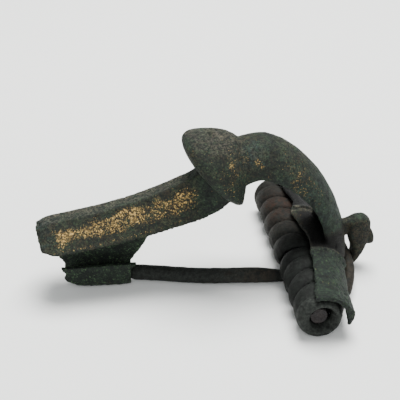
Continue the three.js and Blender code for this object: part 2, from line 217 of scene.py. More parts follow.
def joined(skins: Sequence[Skin]) -> Skin:
    """Put several skins into one, still overlapping."""
    shift = np.cumsum([0] + [len(s.points) for s in skins[:-1]])
    return Skin(np.vstack([s.points for s in skins]),
                np.vstack([s.faces + n for s, n in zip(skins, shift)]))


def tube(line: Array, radii: Array, sides: int) -> Skin:
    """Carry a circle of changing radius along a line.

    The ring's frame is carried from point to point by taking the old normal's part across the new
    direction, so that it doesn't twist.

    Args:
        line: points of the centre line.
        radii: radius at each point.
        sides: points round.

    Returns:
        The closed bar.
    """
    way = along(line)
    normals = np.empty_like(line)
    n = np.array([0.0, 0.0, 1.0])
    for i, direction in enumerate(way):
        n = n - direction * (n @ direction)
        n /= np.linalg.norm(n)
        normals[i] = n
    across = np.cross(way, normals)
    angle = around(sides)[None, :, None]
    out = normals[:, None] * np.cos(angle) + across[:, None] * np.sin(angle)
    return Skin.over(line[:, None] + out * radii[:, None, None])


@dataclass(frozen=True)
class Placement:
    """Turns millimetres in the casting's frame into metres in the shared frame."""

    shift: tuple[float, float, float]

    @classmethod
    def from_axle(cls, middle_y: float) -> "Placement":
        """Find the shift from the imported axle, whose middle stands at X = 0 and Y = middle_y."""
        low, high = (np.array(corner) * 1000 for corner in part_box("axle"))
        x, y = (low[:2] + high[:2]) / 2
        return cls((float(x), float(y) - middle_y, 0.0))

    def metres(self, points: Array) -> Array:
        """Return points in metres in the shared frame."""
        return (points + np.array(self.shift)) / 1000.0

    def millimetres(self, points: Array) -> Array:
        """Return points in millimetres in the casting's frame."""
        return points * 1000.0 - np.array(self.shift)


def mesh_object(name: str, skin: Skin, place: Placement) -> bpy.types.Object:
    """Make a smooth-shaded object at the origin whose mesh holds its place.

    Args:
        name: name of the object and its mesh.
        skin: points in millimetres, and faces.
        place: shift to the shared frame.

    Returns:
        The linked object.
    """
    mesh = bpy.data.meshes.new(name)
    mesh.vertices.add(len(skin.points))
    mesh.vertices.foreach_set("co", place.metres(skin.points).astype(np.float32).ravel())
    mesh.loops.add(skin.faces.size)
    mesh.loops.foreach_set("vertex_index", skin.faces.astype(np.int32).ravel())
    mesh.polygons.add(len(skin.faces))
    mesh.polygons.foreach_set("loop_start", np.arange(0, skin.faces.size, 4, dtype=np.int32))
    mesh.update(calc_edges=True)
    mesh.validate()
    mesh.shade_smooth()
    obj = bpy.data.objects.new(name, mesh)
    bpy.context.scene.collection.objects.link(obj)
    return obj


def places_of(mesh: bpy.types.Mesh, place: Placement) -> Array:
    """Return a mesh's points in millimetres in the casting's frame."""
    flat = np.empty(len(mesh.vertices) * 3, np.float32)
    mesh.vertices.foreach_get("co", flat)
    return place.millimetres(flat.reshape(-1, 3).astype(float))


def normals_of(mesh: bpy.types.Mesh) -> Array:
    """Return a mesh's point normals."""
    flat = np.empty(len(mesh.vertices) * 3, np.float32)
    mesh.vertex_normals.foreach_get("vector", flat)
    return flat.reshape(-1, 3).astype(float)


def paint(mesh: bpy.types.Mesh, name: str, values: Array) -> None:
    """Store one number per point as an attribute that a material reads."""
    layer = mesh.attributes.new(name, "FLOAT", "POINT")
    layer.data.foreach_set("value", np.clip(values, 0, 1).astype(np.float32))


class Shader:
    """Short hand for building one node material."""

    def __init__(self, name: str) -> None:
        """Start a material with a principled shader."""
        self.material = bpy.data.materials.new(name)
        self.material.use_nodes = True
        self.tree = self.material.node_tree
        self.skin = self.tree.nodes["Principled BSDF"]
        self.coords = self.tree.nodes.new("ShaderNodeTexCoord").outputs["Object"]

    def value(self, name: str) -> Socket:
        """Read a point attribute."""
        node = self.tree.nodes.new("ShaderNodeAttribute")
        node.attribute_name = name
        return node.outputs["Fac"]

    def noise(self, size_mm: float, detail: float, rough: float = 0.55, seed: float = 0.0) -> Socket:
        """Return noise whose lumps are size_mm wide, from 0 to 1."""
        node = self.tree.nodes.new("ShaderNodeTexNoise")
        node.noise_dimensions = "4D"
        node.inputs["W"].default_value = seed
        node.inputs["Scale"].default_value = 1000.0 / size_mm
        node.inputs["Detail"].default_value = detail
        node.inputs["Roughness"].default_value = rough
        self.tree.links.new(self.coords, node.inputs["Vector"])
        return node.outputs["Fac"]

    def math(self, kind: str, a: Socket | float, b: Socket | float, clamp: bool = False) -> Socket:
        """Return the result of one arithmetic node."""
        node = self.tree.nodes.new("ShaderNodeMath")
        node.operation = kind
        node.use_clamp = clamp
        for socket, source in zip(node.inputs, (a, b)):
            self.feed(socket, source)
        return node.outputs[0]

    def ramp(self, source: Socket, low: float, high: float) -> Socket:
        """Return the S-curve of a value between low and high."""
        node = self.tree.nodes.new("ShaderNodeMapRange")
        node.interpolation_type = "SMOOTHSTEP"
        node.inputs["From Min"].default_value = low
        node.inputs["From Max"].default_value = high
        self.tree.links.new(source, node.inputs["Value"])
        return node.outputs["Result"]

    def mix(self, share: Socket | float, a: object, b: object) -> Socket:
        """Return a colour that goes from a to b as share goes from 0 to 1."""
        node = self.tree.nodes.new("ShaderNodeMix")
        node.data_type = "RGBA"
        self.feed(node.inputs["Factor"], share)
        self.feed(node.inputs[6], a)
        self.feed(node.inputs[7], b)
        return node.outputs[2]

    def zone(self, attribute: str, size_mm: float, seed: float, base: object, tone: object) -> Socket:
        """Return base with a tone mixed in where an attribute and a mottle of size_mm are both high."""
        mottle = self.ramp(self.noise(size_mm, 4.0, 0.6, seed), 0.34, 0.6)
        return self.mix(self.math("MULTIPLY", self.value(attribute), mottle), base, tone)

    def feed(self, socket: Socket, source: object) -> None:
        """Link a socket, or set its value from a number or a colour."""
        if isinstance(source, Socket):
            self.tree.links.new(source, socket)
        elif isinstance(source, (tuple, list)):
            socket.default_value = (*source, 1.0)[:4]
        else:
            socket.default_value = source

    def weigh(self, source: Socket, weight: float, start: Socket | float) -> Socket:
        """Return start + weight times a value."""
        return self.math("ADD", self.math("MULTIPLY", source, weight), start)

    def raised(self, height: Socket, depth_mm: float) -> Socket:
        """Return the normal of the surface raised by a height from 0 to 1, times depth_mm."""
        node = self.tree.nodes.new("ShaderNodeBump")
        node.inputs["Distance"].default_value = depth_mm / 1000.0
        node.inputs["Strength"].default_value = 1.0
        self.tree.links.new(height, node.inputs["Height"])
        return node.outputs["Normal"]

    def finish(self, **inputs: object) -> bpy.types.Material:
        """Set inputs of the principled shader, named with _ for spaces, and return the material."""
        for name, source in inputs.items():
            self.feed(self.skin.inputs[name.replace("_", " ")], source)
        return self.material


@dataclass(frozen=True)
class BronzePatina:
    """Dark green-grey corrosion with brown tones, pale wear, flecks of gilding and black painted shade."""

    green: Colour = (0.023, 0.039, 0.023)
    deep: Colour = (0.008, 0.010, 0.009)
    bright: Colour = (0.066, 0.112, 0.056)
    teal: Colour = (0.034, 0.060, 0.057)
    brown: Colour = (0.062, 0.045, 0.025)
    grey: Colour = (0.092, 0.082, 0.062)
    # Black of the painted shade.
    black: Colour = (0.004, 0.004, 0.004)
    ochre: Colour = (0.17, 0.115, 0.047)
    gold: Colour = (0.56, 0.375, 0.13)

    def material(self) -> bpy.types.Material:
        """Build the finish: green mottle under zones of other tones, then grit, painted shade and flecks."""
        s = Shader("bow_bronze")
        fine = s.noise(0.28, 4.0, 0.62, 2.0)
        base = s.mix(s.ramp(s.noise(1.6, 5.0, 0.6, 1.0), 0.36, 0.64), self.deep, self.green)
        base = s.zone("teal", 1.1, 9.0, base, self.teal)
        base = s.zone("brown", 0.8, 3.0, base, self.brown)
        base = s.zone("pale", 0.6, 4.0, base, self.grey)
        crust = s.math("MULTIPLY", s.ramp(fine, 0.52, 0.66), s.math("ADD", s.value("crust"), 0.4), clamp=True)
        base = s.mix(crust, base, self.bright)
        grit = s.ramp(s.noise(0.26, 4.0, 0.72, 10.0), 0.58, 0.44)
        base = s.mix(s.math("MULTIPLY", grit, 0.92), base, self.deep)
        # Painted shade: black in the hollow under the bow and on the far lobe's front, and the near lobe's
        # darkening.
        base = s.mix(s.value("painted_shade_and_darkening"), base, self.black)
        speck = s.noise(0.22, 3.0, 0.68, 5.0)
        level = s.weigh(s.value("gold"), 0.2, s.weigh(s.noise(2.2, 3.0, 0.5, 6.0), 0.3, speck))
        flecks = s.ramp(level, 0.83, 0.95)
        gilding = s.mix(s.ramp(s.noise(0.3, 2.0, 0.5, 11.0), 0.38, 0.62), self.ochre, self.gold)
        relief = s.weigh(s.noise(0.9, 4.0, 0.6, 8.0), 1.6, s.noise(0.2, 6.0, 0.68, 7.0))
        return s.finish(Base_Color=s.mix(flecks, base, gilding), Metallic=s.math("MULTIPLY", flecks, 0.5),
                        Roughness=s.weigh(fine, 0.3, 0.5), Specular_IOR_Level=0.16,
                        Normal=s.raised(relief, 0.19))


@dataclass(frozen=True)
class WirePatina:
    """Blackish bronze wire, browner, redder or paler where its attributes say. Its dark base is partly the
    wire's own patina and partly painted shade for the coil lying in the bow's shade.
    """

    # Dark base tones: the wire's own dark patina, made darker as painted shade for the coil under the bow.
    dark: Colour = (0.007, 0.0075, 0.007)
    green: Colour = (0.014, 0.0165, 0.0145)
    brown: Colour = (0.036, 0.029, 0.021)
    red: Colour = (0.031, 0.017, 0.012)
    worn: Colour = (0.030, 0.034, 0.030)

    def material(self) -> bpy.types.Material:
        """Build the finish from a mottled dark tone, washed by brown, red and worn zones."""
        s = Shader("wire_bronze")
        fine = s.noise(0.25, 5.0, 0.65, 1.0)
        base = s.mix(s.ramp(s.noise(0.9, 5.0, 0.6, 2.0), 0.35, 0.65), self.dark, self.green)
        base = s.zone("brown", 0.7, 3.0, base, self.brown)
        base = s.zone("red", 0.6, 4.0, base, self.red)
        base = s.zone("worn", 0.5, 6.0, base, self.worn)
        base = s.mix(s.math("MULTIPLY", s.ramp(fine, 0.56, 0.42), 0.6), base, self.dark)
        relief = s.weigh(s.noise(0.7, 4.0, 0.6, 5.0), 1.5, fine)
        return s.finish(Base_Color=base, Roughness=s.weigh(fine, 0.3, 0.5), Specular_IOR_Level=0.1,
                        Normal=s.raised(relief, 0.11))


@dataclass(frozen=True)
class IronRust:
    """Dark rust with a purple-brown cast and paler crumbs."""

    dark: Colour = (0.010, 0.008, 0.0085)
    rust: Colour = (0.015, 0.011, 0.0105)
    crumb: Colour = (0.042, 0.032, 0.029)

    def material(self) -> bpy.types.Material:
        """Build the finish from two noises, with the crumbs where the fine one is high."""
        s = Shader("rusted_iron")
        fine = s.noise(0.22, 5.0, 0.7, 1.0)
        base = s.mix(s.ramp(s.noise(0.9, 4.0, 0.6, 2.0), 0.35, 0.65), self.dark, self.rust)
        base = s.mix(s.ramp(fine, 0.6, 0.75), base, self.crumb)
        return s.finish(Base_Color=base, Roughness=s.weigh(fine, 0.2, 0.75), Normal=s.raised(fine, 0.16))


@dataclass(frozen=True)
class PaleFloor:
    """Matt pale grey paper."""

    paper: Colour = (0.88, 0.89, 0.875)

    def material(self) -> bpy.types.Material:
        """Build the finish, with a tooth too fine to see singly."""
        s = Shader("pale_floor")
        shade = tuple(c * 0.99 for c in self.paper)
        return s.finish(Base_Color=s.mix(s.noise(40.0, 2.0), self.paper, shade), Roughness=0.95,
                        Specular_IOR_Level=0.1)


@dataclass
class Spring:
    """Sizes that the casting, the wire and the axle share."""

    radius: float = 3.3
    wire: float = 1.64
    near_end: float = -17.8
    far_end: float = 18.8

    @property
    def middle(self) -> float:
        """Middle of the spring's length."""
        return (self.near_end + self.far_end) / 2


@dataclass
class FootAndBow:
    """Foot, bow and hollow head as one section carried along the ridge line."""

    foot_end_x: float = -40.5
    foot_end_height: float = 11.9
    neck_x: float = -16.4
    neck_height: float = 18.6
    foot_end_half: float = 5.0
    neck_half_foot: float = 3.7
    foot_end_depth: float = 3.9
    foot_neck_depth: float = 6.0
    ridge_half: float = 1.3
    end_wear: float = 1.2
    crown_x: float = -6.3
    crown_height: float = 24.6
    head_x: float = 8.1
    head_bottom: float = 4.0
    curve: float = 1.69
    neck_half: float = 4.2
    neck_rise: float = 1.7
    head_half: float = 4.3
    cross_half: float = 6.0
    neck_depth: float = 5.6
    waist_depth: float = 3.4
    head_depth: float = 3.9
    wall: float = 1.4
    rim: float = 1.2
    reach: float = 0.045
    flat_share: float = 2 / 7
    across: int = 72
    between: int = 12

    def foot_ridge(self, t: Array | float) -> Array:
        """Return points of the foot's ridge: straight in X, rising as (t + t^2.6) / 2 in Z."""
        t = np.atleast_1d(np.asarray(t, float))
        rise = 0.5 * t + 0.5 * t**2.6
        return np.stack([lerp(self.foot_end_x, self.neck_x, t), 0 * t,
                         lerp(self.foot_end_height, self.neck_height, rise)], -1)

    def bow_ridge(self, t: Array) -> Array:
        """Return points of a superellipse's quarter, from the crown to the head's bottom."""
        angle = t * np.pi / 2
        out = np.sin(angle) ** (2 / self.curve)
        over = np.clip(np.cos(angle), 0, 1) ** (2 / self.curve)
        return np.stack([lerp(self.crown_x, self.head_x, out), 0 * t,
                         lerp(self.head_bottom, self.crown_height, over)], -1)

    def crown(self) -> Array:
        """Return the highest point of the ridge line."""
        return np.array([self.crown_x, 0.0, self.crown_height])

    def stations(self) -> tuple[Array, Array]:
        """Lay out the section's stations.

        Returns:
            Points of the ridge line, and columns of half width, depth, roof share and hollowness.
        """
        t = np.array([0, 0.03, 0.09, 0.2, 0.35, 0.5, 0.66, 0.8, 0.92, 1])
        worn = self.end_wear * (1 - smooth(t, -0.02, 0.1))
        foot = self.foot_ridge(t)
        foot[:, 2] -= worn * 0.4
        foot_sizes = np.stack([
            lerp(self.foot_end_half, self.neck_half_foot, t) - worn,
            lerp(self.foot_end_depth, self.foot_neck_depth, t**2) - worn * 0.6,
            1 - smooth(t, 0.9, 1.4), 0.22 * (1 - t)], -1)
        neck = (self.foot_ridge(1)[0] + self.crown()) / 2 + [0, 0, self.neck_rise]
        u = np.array([0.04, 0.16, 0.27, 0.38, 0.5, 0.62, 0.74, 0.86, 1])
        half = lerp(lerp(self.neck_half + 0.2, self.head_half, smooth(u, 0, 0.4)),
                    self.cross_half, smooth(u, 0.75, 1))
        deep = lerp(lerp(self.neck_depth, self.waist_depth, smooth(u, 0.1, 0.75)),
                    self.head_depth, smooth(u, 0.6, 1))
        bow_sizes = np.stack([half, deep, 0 * u, smooth(u, -0.1, 0.35)], -1)
        return (np.vstack([foot, neck, self.bow_ridge(u)]),
                np.vstack([foot_sizes, [self.neck_half, self.neck_depth, 0, 0], bow_sizes]))

    def skin(self) -> Skin:
        """Carry the section along the ridge.

        Seen along the bow, the outside is a mix of an arch, half sin a across and deep (1 - cos a)
        down, and of a roof with a narrow flat ridge. The inside is an arch as deep as the section
        is hollow. Each section stands across the chord of the ridge line from a little before it
        to a little after it.

        Returns:
            The closed loft.
        """
        knots, sizes = self.stations()
        n = (len(knots) - 1) * self.between + 1
        t = np.linspace(0, 1, n)
        line = spline(knots, t)
        way = spline(knots, t + self.reach) - spline(knots, t - self.reach)
        way /= np.linalg.norm(way, axis=1)[:, None]
        place = t * (len(knots) - 1)
        half, deep, roof, hollow = (np.interp(place, np.arange(len(knots)), c)[:, None]
                                    for c in sizes.T)
        u = np.linspace(-1, 1, self.across + 1)[None]
        share = self.flat_share
        slope = np.clip((np.abs(u) - share) / (1 - share), 0, None)
        flat = u / share * self.ridge_half
        roof_y = np.where(np.abs(u) < share, flat, np.sign(u) * lerp(self.ridge_half, half, slope))
        angle = u * np.pi / 2
        y = lerp(half * np.sin(angle), roof_y, roof)
        down = lerp(deep * (1 - np.cos(angle)), deep * slope, roof)
        rise = (deep - self.wall) * hollow * np.cos(angle)
        inner_y = (half - self.rim) * np.sin(angle)
        up = np.stack([-way[:, 2], 0 * way[:, 0], way[:, 0]], -1)[:, None]
        side = np.array([0.0, 1.0, 0.0])
        outer = line[:, None] + up * -down[..., None] + side * y[..., None]
        inner = line[:, None] + up * (rise - deep)[..., None] + side * inner_y[..., None]
        return Skin.over(np.concatenate([outer, inner[:, ::-1]], 1))


@dataclass
class Comb:
    """Thick collar between foot and bow, swept from a leaning oval back to an upright smaller one."""

    half_width: float = 6.5
    half_height: float = 7.2
    lean: float = 38.0
    lift: float = 0.55
    front_depth: float = 1.8
    back_rise: float = -0.2
    ease: float = 1.6
    back_half_width: float = 4.5
    back_half_height: float = 5.3
    back_lean: float = -3.0
    length: float = 7.2
    seat: float = 0.28
    sides: int = 180
    across: int = 60

    def skin(self, body: FootAndBow) -> Skin:
        """Sweep the oval.

        At share s of the way the oval's size is (1 - |2s - 1|^3.2)^0.42 of a size that goes, as
        s^1.6 does, from the front's to the back's, and its lean goes the same way.

        Args:
            body: sizes of the ridge line that the comb sits on.

        Returns:
            The closed collar.
        """
        seat = lerp(body.foot_ridge(1)[0], body.crown(), self.seat)
        front = math.radians(self.lean)
        foremost = (seat + self.lift * np.array([-math.sin(front), 0, math.cos(front)])
                    - self.front_depth * np.array([math.cos(front), 0, math.sin(front)]))
        s = ((1 - np.cos(np.linspace(0, np.pi, self.across + 1))) / 2)[:, None]
        share = np.maximum(0.02, 1 - np.abs(2 * s - 1) ** 3.2) ** 0.42
        turned = s**self.ease
        lean = np.radians(lerp(self.lean, self.back_lean, turned))
        high = share * lerp(self.half_height, self.back_half_height, turned)
        wide = share * lerp(self.half_width, self.back_half_width, turned)
        centre = foremost + s * np.array([self.length, 0, self.back_rise])
        angle = around(self.sides)[None]
        rise = high * np.sin(angle)
        return Skin.over(np.stack([centre[:, :1] - np.sin(lean) * rise, wide * np.cos(angle),
                                   centre[:, 2:] + np.cos(lean) * rise], -1))


@dataclass
class RollCap:
    """Two lobes of plate bent over the spring, and the tongue and bridge between them."""

    wall: float = 0.7
    gap: float = 0.32
    inner_y: float = 5.9
    near_y: float = 18.1
    far_y: float = 17.6
    spread: float = 2.2
    extra_outer: float = 0.35
    front_angle: float = 97.0
    back_angle: float = -9.0
    root_angle: float = 9.0
    bead: float = 0.55
    swell: float = 0.4
    tongue_near_y: float = -5.6
    far_cut: float = 13.0
    tongue_cut: float = 8.0
    tongue_reach: float = 6.0
    bridge_angle: float = 38.0
    head_inset: float = 0.7
    overlap: float = 0.3
    steps: int = 90

    def plate(self, y0: float, y1: float, outer_y: float, bead: Edge, front: Edge, back: Edge,
              spring: Spring, body: FootAndBow) -> Skin:
        """Bend a plate over a range of y.

        At each y the outside is an ellipse about the spring, wide at the bow and close round the
        spring at its end, from the front edge's angle to the back edge's. Crust swells the near
        end's back edge, by S-curves of y and the angle, and leaves its very tip thin.

        Args:
            y0: first y.
            y1: last y.
            outer_y: y at which the cap is close round the spring.
            bead: extra radius at y, for the rim's bead.
            front: angle of the front edge at y, in degrees.
            back: angle of the back edge at y, in degrees.
            spring: sizes of the spring inside.
            body: the bow's sizes, whose head the cap meets.

        Returns:
            The closed plate.
        """
        y = np.linspace(y0, y1, max(8, int(abs(y1 - y0) / 0.12)))
        away = np.abs(y) / outer_y
        share = smooth(np.abs(y), 0, outer_y) * 0.35 + 0.65 * away
        inner = spring.radius + self.gap + self.wall
        wide = lerp(body.head_x - self.head_inset - self.spread, inner + self.extra_outer, share)
        mid_x = lerp(self.spread, 0, share)
        k = np.linspace(0, 1, self.steps + 1)[None]
        angle = np.radians(lerp(front(y)[:, None], back(y)[:, None], k))

        def arc(grow: Array) -> Array:
            """Return the arc on the ellipse grown by the given amount."""
            x = mid_x[:, None] + (wide[:, None] + grow) * np.cos(angle)
            z = spring.radius + (inner + grow) * np.sin(angle)
            return np.stack([x, np.broadcast_to(y[:, None], x.shape), z], -1)

        place = np.degrees(angle)
        swell = self.swell * smooth(-y, 13.0, 17.5)[:, None] * (1 - smooth(place, 5, 45))
        swell *= lerp(-0.3, 1, smooth(place, self.back_angle, self.back_angle + 16))
        outer, low = arc(bead(y)[:, None] + swell), arc(-self.wall - 0.4 * swell)
        return Skin.over(np.concatenate([outer, low[:, ::-1]], 1))

    def ragged(self, y: Array, seed: int, reach: float) -> Array:
        """Return a broken edge's wander at y, in degrees."""
        points = np.stack([y, 0 * y, 0 * y + 3.1], -1)
        return reach * grain(points, 1.3, seed, 4)

    def skins(self, spring: Spring, body: FootAndBow) -> list[Skin]:
        """Build the near lobe with its frayed edge and hanging tip, the far lobe, and the tongue."""
        def bead(y: Array) -> Array:
            """Raise a bead along the rim by the bow."""
            return self.bead * bell(np.abs(y), self.inner_y, 0.7)

        def back_edge(y: Array) -> Array:
            """Let the back edge rise towards the bow."""
            return lerp(self.root_angle, self.back_angle, smooth(np.abs(y), self.inner_y, 12))

        def near_front(y: Array) -> Array:
            """Fray the near lobe's front edge towards its end."""
            fray = 7 * smooth(-y, 12.5, self.near_y) - 2.5 * np.exp(-((y + 8.5) ** 2))
            return self.front_angle + fray + self.ragged(y, 11, 5.0)

        def near_back(y: Array) -> Array:
            """Let the near lobe's tip hang at the back."""
            return back_edge(y) - 7 * smooth(-y, self.near_y - 2.2, self.near_y) + self.ragged(y, 12, 1.5)

        def far_front(y: Array) -> Array:
            """Cut the far lobe's front edge back beyond its rim."""
            cut = self.far_cut * smooth(y, self.inner_y, self.inner_y + 3.5)
            return self.front_angle - cut + self.ragged(y, 13, 2.5)

        def tongue_front(y: Array) -> Array:
            """Curl the tongue's front edge past the lobes', less towards its near end."""
            cut = self.tongue_cut * smooth(-y, -3, 4)
            return self.front_angle + self.tongue_reach - cut + self.ragged(y, 14, 3.0)

        def level(value: float) -> Edge:
            """Return a function that is the same at every y."""
            return lambda y: 0 * y + value

        root, joint = level(self.root_angle), self.inner_y + self.overlap
        return [
            self.plate(-self.inner_y, -self.near_y, self.near_y, bead, near_front, near_back, spring, body),
            self.plate(self.inner_y, self.far_y, self.far_y, bead, far_front, back_edge, spring, body),
            self.plate(self.tongue_near_y, joint, self.far_y, level(0), tongue_front, root, spring, body),
            self.plate(-joint, joint, self.far_y, level(0), level(self.bridge_angle), root, spring, body),
        ]


@dataclass
class CatchPlate:
    """Plate under the foot, folded up into a trough for the pin."""

    wall: float = 0.7
    clearance: float = 0.3
    pin: float = 1.5
    left: float = -36.6
    right: float = -26.4
    root_left: float = -37.6
    root_right: float = -22.0
    lip: float = 4.3
    shoulder: float = 7.0
    chip: float = 5.2
    sunk: float = 1.4
    y: float = -0.3
    facets: int = 7

    @property
    def bore(self) -> float:
        """Radius inside the fold."""
        return self.pin / 2 + self.clearance

    @property
    def axis_z(self) -> float:
        """Height of the fold's axis."""
        return (self.bore + self.wall) * math.cos(math.pi / (2 * self.facets))

    def skins(self, body: FootAndBow) -> list[Skin]:
        """Build the fold and its root.

        A J-shaped profile, a half circle with a short and a long leg, is carried along X. Each of
        its points runs between the left and the right outline at its own height.

        Args:
            body: the foot's sizes, which carry the catch.

        Returns:
            The fold, and the wedge that joins it to the foot.
        """
        outer = self.bore + self.wall
        root_z = body.foot_end_height - body.foot_end_depth + self.sunk
        left_z = [-0.1, 0.8, 1.9, 2.6, 3.2, 5.4, root_z + 1]
        left_x = [self.left + self.chip, self.left + 0.4 * self.chip, self.left + 0.5, self.left,
                  self.left + 0.3, self.root_left, self.root_left]
        right_z = [-0.1, self.lip - 1, 5.4, self.shoulder + 0.6, root_z + 1]
        right_x = [self.right, self.right + 0.3, self.right + 2, self.root_right - 1, self.root_right]

        def profile(radius: float) -> Array:
            """Return the J in Y and Z at a radius."""
            turn = np.pi + np.linspace(0, 1, 40) * np.pi
            short = np.stack([np.full(14, -radius), np.linspace(self.lip, self.axis_z, 14)], -1)
            fold = np.stack([radius * np.cos(turn), self.axis_z + radius * np.sin(turn)], -1)
            leg = np.stack([np.full(30, radius), np.linspace(self.axis_z, root_z, 30)], -1)
            return np.vstack([short[:-1], fold, leg[1:]])

        section = np.vstack([profile(outer), profile(self.bore)[::-1]])
        z = section[:, 1]
        here = np.stack([0 * z, section[:, 0], z], -1)
        low = np.interp(z, left_z, left_x) + 0.35 * grain(here, 0.8, 21, 3)
        high = np.interp(z, right_z, right_x) + 0.3 * grain(here + 9, 0.8, 22, 3)
        u = np.linspace(0, 1, 80)[:, None]
        x = lerp(low[None], high[None], u)
        y = self.y + np.broadcast_to(section[:, 0], x.shape)
        fold = Skin.over(np.stack([x, y, np.broadcast_to(z, x.shape)], -1))
        v = np.linspace(0, 1, 24)
        corner_x = lerp(self.root_left, self.root_right, v)
        top, bottom = root_z + lerp(1.4, 2.6, v), root_z - 0.8 + 0 * v
        wedge = np.stack([np.stack([corner_x, self.y + side + 0 * v, height], -1) for side, height in (
            (self.bore, bottom), (self.bore, top), (outer, top), (outer, bottom))], 1)
        return [fold, Skin.over(wedge)]


@dataclass
class ChordHook:
    """Stem from the bow's end, a strap that bends down round the chord, and its curled finger."""

    thickness: float = 3.8
    tip: float = 1.1
    width: float = 2.9
    stem: float = 2.6
    finger: float = 1.35
    top: float = 9.6
    middle_x: float = 10.2
    bottom: float = 0.3
    corners: int = 44

    def band(self, points: Sequence[Sequence[float]], thickness: Edge, width: float,
             y: float) -> Skin:
        """Carry a rounded oblong, |cos|^0.6 by |sin|^0.6, along points in X and Z.

        Args:
            points: knots of the centre line in X and Z.
            thickness: size across the strap at each share of its way.
            width: size along Y.
            y: middle of the strap.

        Returns:
            The closed strap, narrower at both ends.
        """
        t = np.linspace(0, 1, 100)
        line = spline([(x, 0, z) for x, z in points], t)
        way = along(line)
        across = np.stack([-way[:, 2], 0 * t, way[:, 0]], -1)[:, None]
        narrow = np.minimum(1, np.minimum(0.6 + 4 * t, 0.7 + 2 * (1 - t)))[:, None]
        angle = around(self.corners)[None]
        high, out = (np.sign(c) * np.abs(c) ** 0.6 for c in (np.sin(angle), np.cos(angle)))
        thick = high * thickness(t)[:, None] / 2
        wide = narrow * out * width / 2
        return Skin.over(line[:, None] + across * thick[..., None]
                         + np.array([0.0, 1.0, 0.0]) * (y + wide)[..., None])

    def skins(self, body: FootAndBow) -> list[Skin]:
        """Build the stem, the strap and the curled finger."""
        x, top = self.middle_x, self.top
        return [
            self.band([(body.head_x - 1, top - 2.4), (body.head_x + 0.8, top - 1.9), (x, top - 1.3)],
                      lambda t: self.stem + 0 * t, self.width * 0.7, 0),
            self.band([(x - 0.2, top - 0.3), (x - 0.05, top - 1.3), (x, 6.8), (x + 0.1, 5.4),
                       (x + 0.15, 3.9), (x - 0.15, 2.4), (x - 0.8, self.bottom + self.tip / 2)],
                      lambda t: (lerp(self.thickness, self.tip, smooth(t, 0.3, 1))
                                 * np.minimum(1, 0.5 + 3 * t)), self.width, 0),
            self.band([(x + 0.8, 7.2), (x + 1.5, 6.6), (x + 1.95, 5.6), (x + 2.0, 4.3)],
                      lambda t: self.finger * lerp(1, 0.85, t), self.width * 0.7, -0.2),
        ]


@dataclass
class GrownPiece:
    """Piece whose overlapping forms are grown together on a fine lattice and then corroded."""

    spring: Spring
    place: Placement

    def grow(self, name: str, skins: Sequence[Skin], voxel: float, rounds: int) -> bpy.types.Object:
        """Join the skins into one surface and take off the lattice's steps.

        Args:
            name: name of the piece.
            skins: closed forms that overlap where they meet.
            voxel: width of the lattice's cells.
            rounds: how many times each point moves half way to its neighbours' middle.

        Returns:
            The linked object.
        """
        obj = mesh_object(name, joined(skins), self.place)
        remesh = obj.modifiers.new("grow", "REMESH")
        remesh.mode = "VOXEL"
        remesh.voxel_size = voxel / 1000.0
        soften = obj.modifiers.new("soften", "SMOOTH")
        soften.factor = 0.5
        soften.iterations = rounds
        mesh = bpy.data.meshes.new_from_object(obj.evaluated_get(bpy.context.evaluated_depsgraph_get()))
        obj.modifiers.clear()
        old = obj.data
        obj.data = mesh
        bpy.data.meshes.remove(old)
        mesh.name = name
        mesh.shade_smooth()
        return obj

    def corrode(self, mesh: bpy.types.Mesh) -> None:
        """Move each point along its normal by the piece's relief."""
        p = places_of(mesh, self.place)
        moved = p + normals_of(mesh) * self.relief(p)[:, None]
        mesh.vertices.foreach_set("co", self.place.metres(moved).astype(np.float32).ravel())
        mesh.update()

    def relief(self, p: Array) -> Array:
        """Return the height to add at each point."""
        return 0.0 * p[:, 0]


